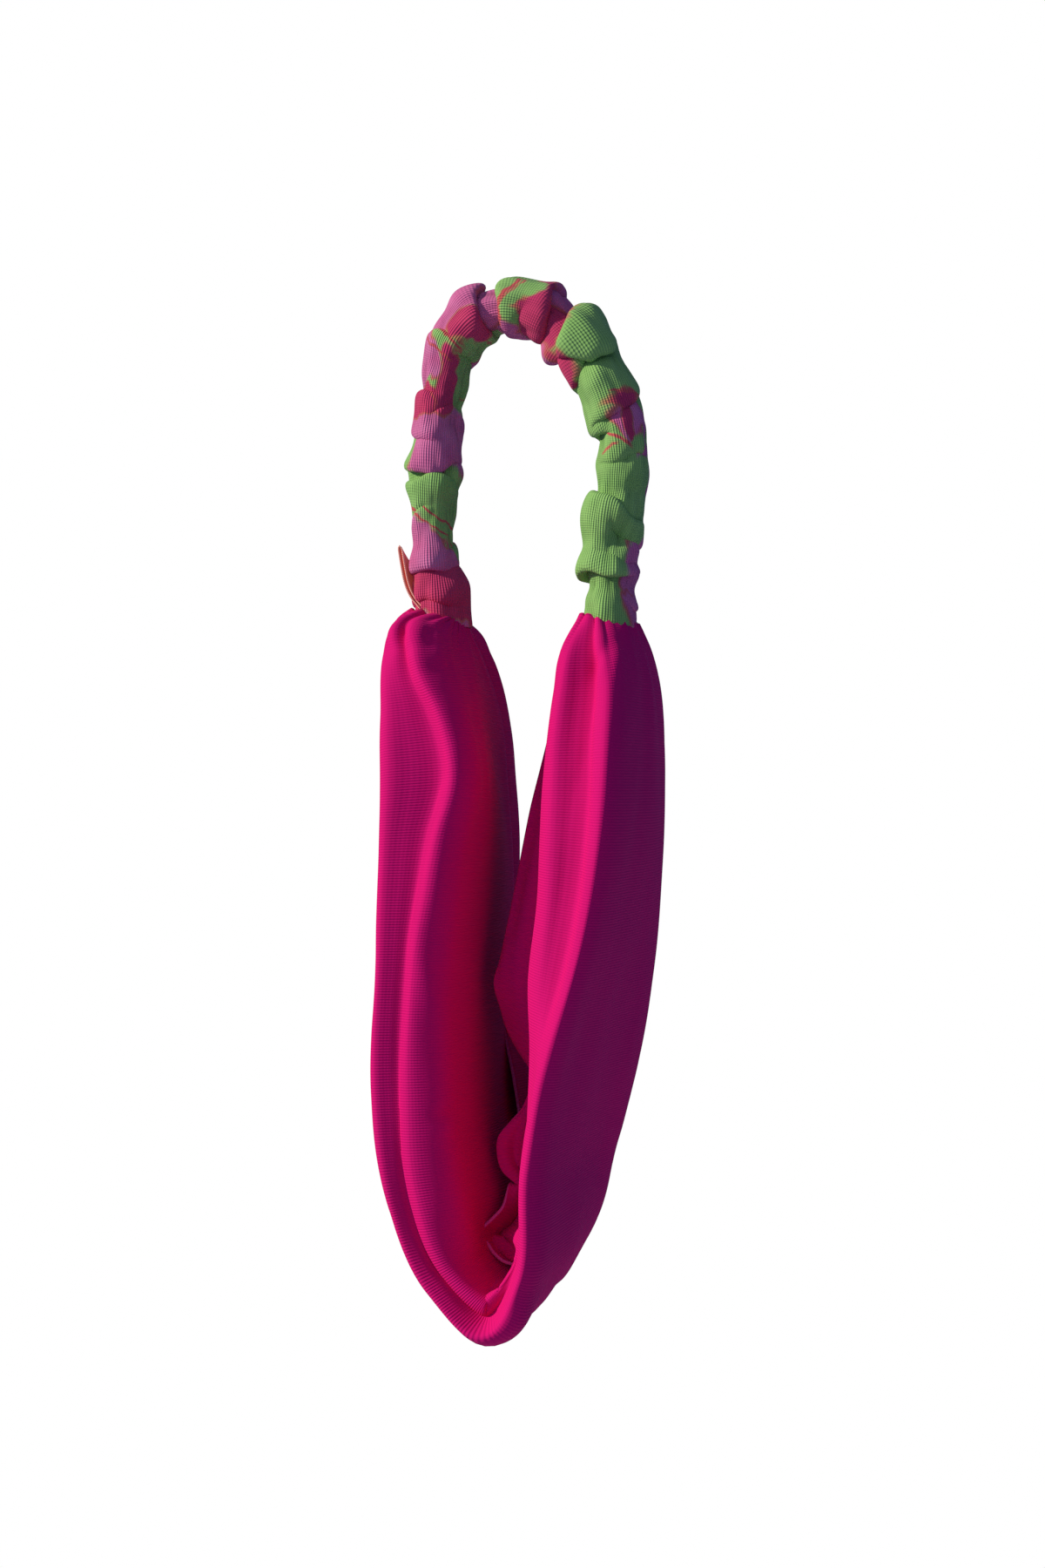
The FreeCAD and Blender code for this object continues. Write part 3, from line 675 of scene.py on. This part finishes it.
def tube_surface(route, distance, angle):
    """Moves a plain tube's points into its tucks. Returns distance along, and half thickness."""
    sizes = through([s[0] for s in TUBE_SIZES], [s[1:] for s in TUBE_SIZES], distance[:, 0])
    half = np.sqrt((sizes[:, :1] * np.cos(angle)) ** 2 + (sizes[:, 1:] * np.sin(angle)) ** 2)
    moved = distance.copy()
    for at, lean_in, lean_back, overhang, step, side, reach, order in TUCKS:
        line = at - lean_in * np.cos(angle) + lean_back * np.sin(angle)
        line = line + 0.6 * np.sin(2 * angle + 1.7 * at) + 0.35 * np.sin(3 * angle + 2.9 * at)
        line = line + 0.2 * np.sin(5 * angle + at)
        depth = 0.5 + 0.5 * np.cos(angle - math.radians(side))
        depth = np.clip((depth - (1 - reach)) / max(reach, 0.2) * 1.2 + 0.1 * reach, 0, 1)
        depth = depth * depth * (3 - 2 * depth)
        x = distance - line
        push = np.tanh(x / 0.55)
        moved -= overhang * depth * push * np.exp(-((x / 3.2) ** 2))
        half -= order * step * depth * push * np.exp(-((x / 4.0) ** 2))
        half -= 0.55 * depth * np.exp(-((x / 1.1) ** 2))
    for at, side, height, half_length, half_width in SWELLS:
        turn = (np.degrees(angle) - side + 180) % 360 - 180
        half += height * np.exp(-(((distance - at) / half_length) ** 2) - (turn / half_width) ** 2)
    from_foot = distance + TUBE_FOOT
    from_heel = distance - route.length - TUBE_HEEL
    foot = np.exp(-((from_foot / 3.2) ** 2)) * np.clip(0.2 - np.cos(angle), 0, 1)
    heel = np.exp(-((from_heel / 3.2) ** 2)) * np.clip(0.3 + np.cos(angle), 0, 1)
    moved += 2.4 * heel - 3.0 * foot
    half += 1.0 * foot + 0.7 * heel + 0.8 * np.exp(-((from_foot / 2.0) ** 2))
    return moved, half


def tube_noise(distance, angle):
    """Soft unevenness of the gathered cloth."""
    bumps = np.zeros(distance.shape)
    for i in range(distance.shape[0]):
        for j in range(distance.shape[1]):
            s, a = distance[i, 0], angle[0, j]
            round_place = Vector((math.cos(a) * 1.5, math.sin(a) * 1.5, s / 7.5))
            small_place = Vector((math.cos(a) * 3.1, math.sin(a) * 3.1, s / 4.0 + 40))
            bumps[i, j] = noise.noise(round_place) * 0.9 + noise.noise(small_place) * 0.34
    return bumps


def make_tube():
    """The printed tube, gathered over the elastic."""
    route = Route(TUBE_ROUTE)
    rings = np.linspace(-TUBE_FOOT, route.length + TUBE_HEEL, TUBE_RINGS)[:, None]
    sides = np.linspace(0, 2 * math.pi, TUBE_SIDES, endpoint=False)[None, :]
    distance = rings * np.ones((1, TUBE_SIDES))
    angle = np.ones((TUBE_RINGS, 1)) * sides
    moved, half = tube_surface(route, distance, angle)
    half = half + tube_noise(distance, angle)
    points = np.zeros((TUBE_RINGS, TUBE_SIDES, 3))
    for column in range(TUBE_SIDES):
        here, along = route.at(moved[:, column])
        out = np.stack([-along[:, 1], along[:, 0]], 1)
        points[:, column, 0] = here[:, 0] + out[:, 0] * half[:, column] * math.cos(angle[0, column])
        points[:, column, 2] = here[:, 1] + out[:, 1] * half[:, column] * math.cos(angle[0, column])
        points[:, column, 1] = half[:, column] * math.sin(angle[0, column])
    u = angle / (2 * math.pi) * TUBE_CUT[0]
    v = distance / route.length * TUBE_CUT[1]
    tube = grid_mesh("gathered_tube", points, closed=True, uv=(u, v, TUBE_CUT[0]))
    for name, share in zip(("petal", "rose", "line"), tube_print(distance, angle)):
        give_attribute(tube, name, share)
    tube.data.materials.append(printed_jersey())
    thicken(tube, 0.55, -1)
    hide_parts("casing_tube")
    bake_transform(tube)


# The print, from the first colour laid down to the last: (colour, distance along, side in degrees, half
# length, half width in degrees, slant)
PRINT = [
    ("petal", 7.5, -108, 11, 170, 2.0), ("rose", 4.2, -110, 5, 190, 0), ("petal", 6.4, -30, 2.6, 34, 0),
    ("petal", 40, -90, 7.5, 190, 0.5), ("leaf", 35, 0, 4.6, 55, -1), ("rose", 48.5, -40, 4.5, 80, 0),
    ("petal", 57, -30, 5.5, 70, 0), ("leaf", 57, -170, 7, 75, 0), ("petal", 69.5, -50, 5.6, 120, -1.2),
    ("leaf", 66, -170, 4, 62, 0), ("rose", 53, -118, 8, 24, 0.6), ("rose", 68.8, -116, 3.4, 44, 0),
    ("petal", 75.2, 0, 2.4, 190, 0), ("petal", 80, 180, 4.5, 58, 0),
    ("rose", 89.8, -90, 5.9, 190, 0), ("petal", 90, 0, 3.5, 60, 0), ("rose", 99.5, -168, 6, 56, 0),
    ("petal", 96, -172, 3.8, 46, -1),
    ("petal", 120.4, -34, 6.8, 48, 1.2), ("rose", 120.4, -52, 4.6, 13, 0.8), ("rose", 115, -45, 2, 38, 0),
    ("leaf", 124.6, -44, 2, 24, -1), ("petal", 152, 14, 9, 60, 0), ("petal", 161, 30, 4, 70, 0),
    ("petal", 131, 62, 5, 42, 0), ("petal", 20, 90, 7, 60, 0), ("petal", 105, 100, 8, 60, 0),
    ("rose", 140, 120, 5, 40, 0), ("petal", 60, 100, 5, 50, 0),
]
# Coral streaks: (distance along at side 0, rise for each degree, first side, last side, half width)
STREAKS = [
    (26.6, 0.045, -200, -10, 0.42), (25.2, 0.058, -190, -20, 0.3), (63.8, 0.012, -130, 20, 0.5),
    (61.4, 0.026, -120, 10, 0.35), (82.4, 0.024, -150, -20, 0.5), (83.4, 0.03, -130, -20, 0.2),
    (121.2, -0.04, -130, -76, 0.4), (127.4, 0.05, -116, -50, 0.5), (114.2, 0.02, -80, 0, 0.35),
    (98, 0.02, 60, 160, 0.5), (140, 0.03, 40, 140, 0.5), (52, 0.04, -110, -60, 0.3),
]


def soft_step(value, low, high):
    """0 below the low value and 1 above the high one, with a smooth rise between."""
    share = np.clip((value - low) / (high - low), 0, 1)
    return share * share * (3 - 2 * share)


def print_drift(distance, angle):
    """How far the wet dye has drifted along and round the tube at each point."""
    drift = np.zeros((2, *distance.shape))
    for i in range(distance.shape[0]):
        for j in range(distance.shape[1]):
            s, a = distance[i, 0], angle[0, j]
            place = Vector((math.cos(a) * 1.6, math.sin(a) * 1.6, s / 5.5))
            drift[0, i, j] = noise.noise(place) * 2.6 + noise.noise(place * 3.1) * 1.0
            drift[1, i, j] = noise.noise(place + Vector((7, 3, 5))) * 26
    return drift


def tube_print(distance, angle):
    """How much petal, rose and coral line there is at each point of the tube."""
    drift = print_drift(distance, angle)
    degrees = (np.degrees(angle) + 180) % 360 - 180
    petal, rose, line = (np.zeros(distance.shape) for _ in range(3))
    for colour, at, side, half_length, half_width, slant in PRINT:
        turn = (degrees - side + 180) % 360 - 180
        x = (distance - at - slant * turn / 30 + drift[0]) / half_length
        y = (turn + drift[1]) / half_width
        reach = np.sqrt(x * x + y * y)
        patch = 1 - soft_step(reach, 0.90, 1.04)
        petal = petal * (1 - patch) + patch * (colour == "petal")
        rose = rose * (1 - patch) + patch * (colour == "rose")
        edge = np.exp(-(((reach - 0.97) * half_length / 0.35) ** 2)) * np.clip(0.6 + drift[0], 0, 1)
        line = np.maximum(line * (1 - patch), edge * 0.8)
    for at, rise, start, end, half_width in STREAKS:
        turn = np.where(degrees > start + 360, degrees - 360, degrees)
        away = np.abs(distance - at - rise * turn + 0.4 * drift[0])
        inside = soft_step(turn, start, start + 12) * (1 - soft_step(turn, end - 12, end))
        line = np.maximum(line, (1 - soft_step(away, half_width * 0.5, half_width)) * inside)
    return petal, rose, line


# ---------------------------------------------------------------- elastic, seams and label


def make_elastic():
    """A flat ribbed elastic down the middle of the tube."""
    route = Route(TUBE_ROUTE)
    distance = np.linspace(0.5, route.length - 0.5, 220)
    here, along = route.at(distance)
    out = np.stack([-along[:, 1], along[:, 0]], 1)
    across = np.linspace(-4, 4, 17)
    points = np.zeros((len(distance), len(across), 3))
    rib = 0.12 * np.cos(across * math.pi * 2)
    points[..., 0] = here[:, None, 0] + out[:, None, 0] * rib
    points[..., 2] = here[:, None, 1] + out[:, None, 1] * rib
    points[..., 1] = across
    strip = grid_mesh("elastic", points)
    strip.data.materials.append(plain_finish("white_elastic", ELASTIC_WHITE, ELASTIC_RIDGE))
    thicken(strip, 1.2, 0)
    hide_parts("elastic_strip")
    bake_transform(strip)


# Edges of the folded label, from the seam up to its fold: (X, Y, Z)
LABEL_NEAR = [
    (-24.2, -6.4, -62.2), (-26.6, -6.4, -59.4), (-28.1, -6.3, -56.2), (-29.1, -6.1, -52),
    (-29.9, -6, -47.4),
]
LABEL_FAR = [
    (-26.4, 3, -62.2), (-26.9, 3.2, -60), (-27.4, 3.4, -57.8), (-27.9, 3.5, -55.6), (-28.4, 3.6, -53.4),
]


def make_label():
    """A ribbon folded in half and caught in the left seam by its two ends."""
    rows, columns = 81, 15
    share = np.linspace(-1, 1, rows)
    knots = np.linspace(0, 1, len(LABEL_NEAR))
    up = 1 - np.abs(share)
    near, far = through(knots, LABEL_NEAR, up), through(knots, LABEL_FAR, up)
    across = np.linspace(0, 1, columns)[None, :, None]
    points = near[:, None] * (1 - across) + far[:, None] * across
    points[..., 0] -= 0.5 * np.sin(np.pi * across[..., 0]) * up[:, None]
    apart = 0.42 * np.sign(share) * np.sqrt(np.clip(1 - up, 0, 0.04) / 0.04)
    points[..., 0] += apart[:, None] * 0.92
    points[..., 1] += apart[:, None] * 0.35
    u = np.ones((rows, 1)) * across[..., 0] * RIBBON_WIDTH
    v = (share[:, None] + 1) * RIBBON_HALF * np.ones((1, columns))
    label = grid_mesh("ribbon_label", points, uv=(u, v))
    label.data.materials.append(ribbon_finish())
    thicken(label, 0.3, 0)
    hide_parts("label_ribbon")
    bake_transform(label)


def ribbon_finish():
    """Fine coral satin ribbon, paler along both long edges, with a faint painted glow standing in for light
    shining through it.
    """
    # The faint emission in the ribbon's own colour is a painted glow: light shining through the thin
    # ribbon.
    finish = Finish("coral_ribbon", Roughness=0.45, Emission_Strength=0.12)
    _, across, along = finish.cloth_place()
    weft = finish.ribs(along, RIBBON_WEFT)
    from_edge = finish.node("ShaderNodeMath", {"operation": "PINGPONG"}, across, RIBBON_WIDTH / 2)
    edge = finish.node("ShaderNodeMapRange", {}, from_edge, 0.0, 0.0009, 1.0, 0.0)
    body = finish.colour(weft * 0.5 + 0.5, *RIBBON)
    colour = finish.colour(edge, body, RIBBON_EDGE)
    # Emission Color carries the painted glow of light shining through the ribbon.
    finish.feed(Base_Color=colour, Emission_Color=colour, Normal=finish.bump(weft, 0.00005))
    return finish.material


def finish_threads():
    """Gives the seams, gather threads and tacks their thread."""
    finishes = {name: plain_finish(name, colour, THREAD_TWIST) for name, colour in THREADS.items()}
    for part in frame["record"]["subparts"]:
        slot = part["material_slot"]
        node = frame["nodes"][part["node"]]
        if slot in finishes:
            node.data.materials.clear()
            node.data.materials.append(finishes[slot])


# ---------------------------------------------------------------- camera, light and floor


CAMERA_TURN = 18  # degrees to the right of straight in front
CAMERA_DISTANCE = 0.6  # metres
FLOOR_HEIGHT = -0.62  # metres
FLOOR_RADIUS = 0.5  # metres


def place_camera():
    camera = bpy.data.cameras.new("camera")
    camera.lens = 60
    camera.sensor_width = 36
    camera.clip_start = 0.01
    eye = bpy.data.objects.new("camera", camera)
    bpy.context.scene.collection.objects.link(eye)
    target = Vector((-0.002, 0, (cad_box[0][2] + cad_box[1][2]) / 2 + 0.0036))
    turn = math.radians(CAMERA_TURN)
    eye.location = target + Vector((math.sin(turn), -math.cos(turn), 0)) * CAMERA_DISTANCE
    eye.rotation_euler = (target - eye.location).to_track_quat("-Z", "Y").to_euler()
    bpy.context.scene.camera = eye


def add_sun(name, direction, strength, colour, softness):
    lamp = bpy.data.lights.new(name, "SUN")
    lamp.energy = strength
    lamp.color = colour
    lamp.angle = math.radians(softness)
    holder = bpy.data.objects.new(name, lamp)
    holder.rotation_euler = Vector(direction).to_track_quat("-Z", "Y").to_euler()
    bpy.context.scene.collection.objects.link(holder)


def light_scene():
    world = bpy.data.worlds.new("studio")
    bpy.context.scene.world = world
    world.use_nodes = True
    tree = world.node_tree
    background = tree.nodes["Background"]
    background.inputs["Color"].default_value = (0.30, 0.42, 1.0, 1)
    background.inputs["Strength"].default_value = 0.30
    white = tree.nodes.new("ShaderNodeBackground")
    white.inputs["Color"].default_value = (1, 1, 1, 1)
    white.inputs["Strength"].default_value = 1.0
    path = tree.nodes.new("ShaderNodeLightPath")
    mix = tree.nodes.new("ShaderNodeMixShader")
    tree.links.new(path.outputs["Is Camera Ray"], mix.inputs[0])
    tree.links.new(background.outputs[0], mix.inputs[1])
    tree.links.new(white.outputs[0], mix.inputs[2])
    tree.links.new(mix.outputs[0], tree.nodes["World Output"].inputs["Surface"])
    add_sun("key", (0.87, 0.54, -0.50), 3.1, (1.0, 0.97, 0.93), 4)
    add_sun("fill", (0.1, 0.9, -0.3), 0.25, (0.8, 0.85, 1.0), 40)


def lay_floor():
    mesh = bpy.data.meshes.new("floor")
    turns = np.linspace(0, 2 * math.pi, 64, endpoint=False)
    ring = [(FLOOR_RADIUS * math.cos(a), FLOOR_RADIUS * math.sin(a), FLOOR_HEIGHT) for a in turns]
    mesh.from_pydata(ring, [], [tuple(range(64))])
    floor = bpy.data.objects.new("floor", mesh)
    bpy.context.scene.collection.objects.link(floor)
    finish = Finish("floor", Roughness=0.9)
    finish.main.inputs["Base Color"].default_value = (0.80, 0.80, 0.81, 1)
    mesh.materials.append(finish.material)


place_camera()
light_scene()
lay_floor()
make_tube()
make_band()
make_elastic()
make_label()
finish_threads()

bpy.context.scene.view_settings.view_transform = "Standard"
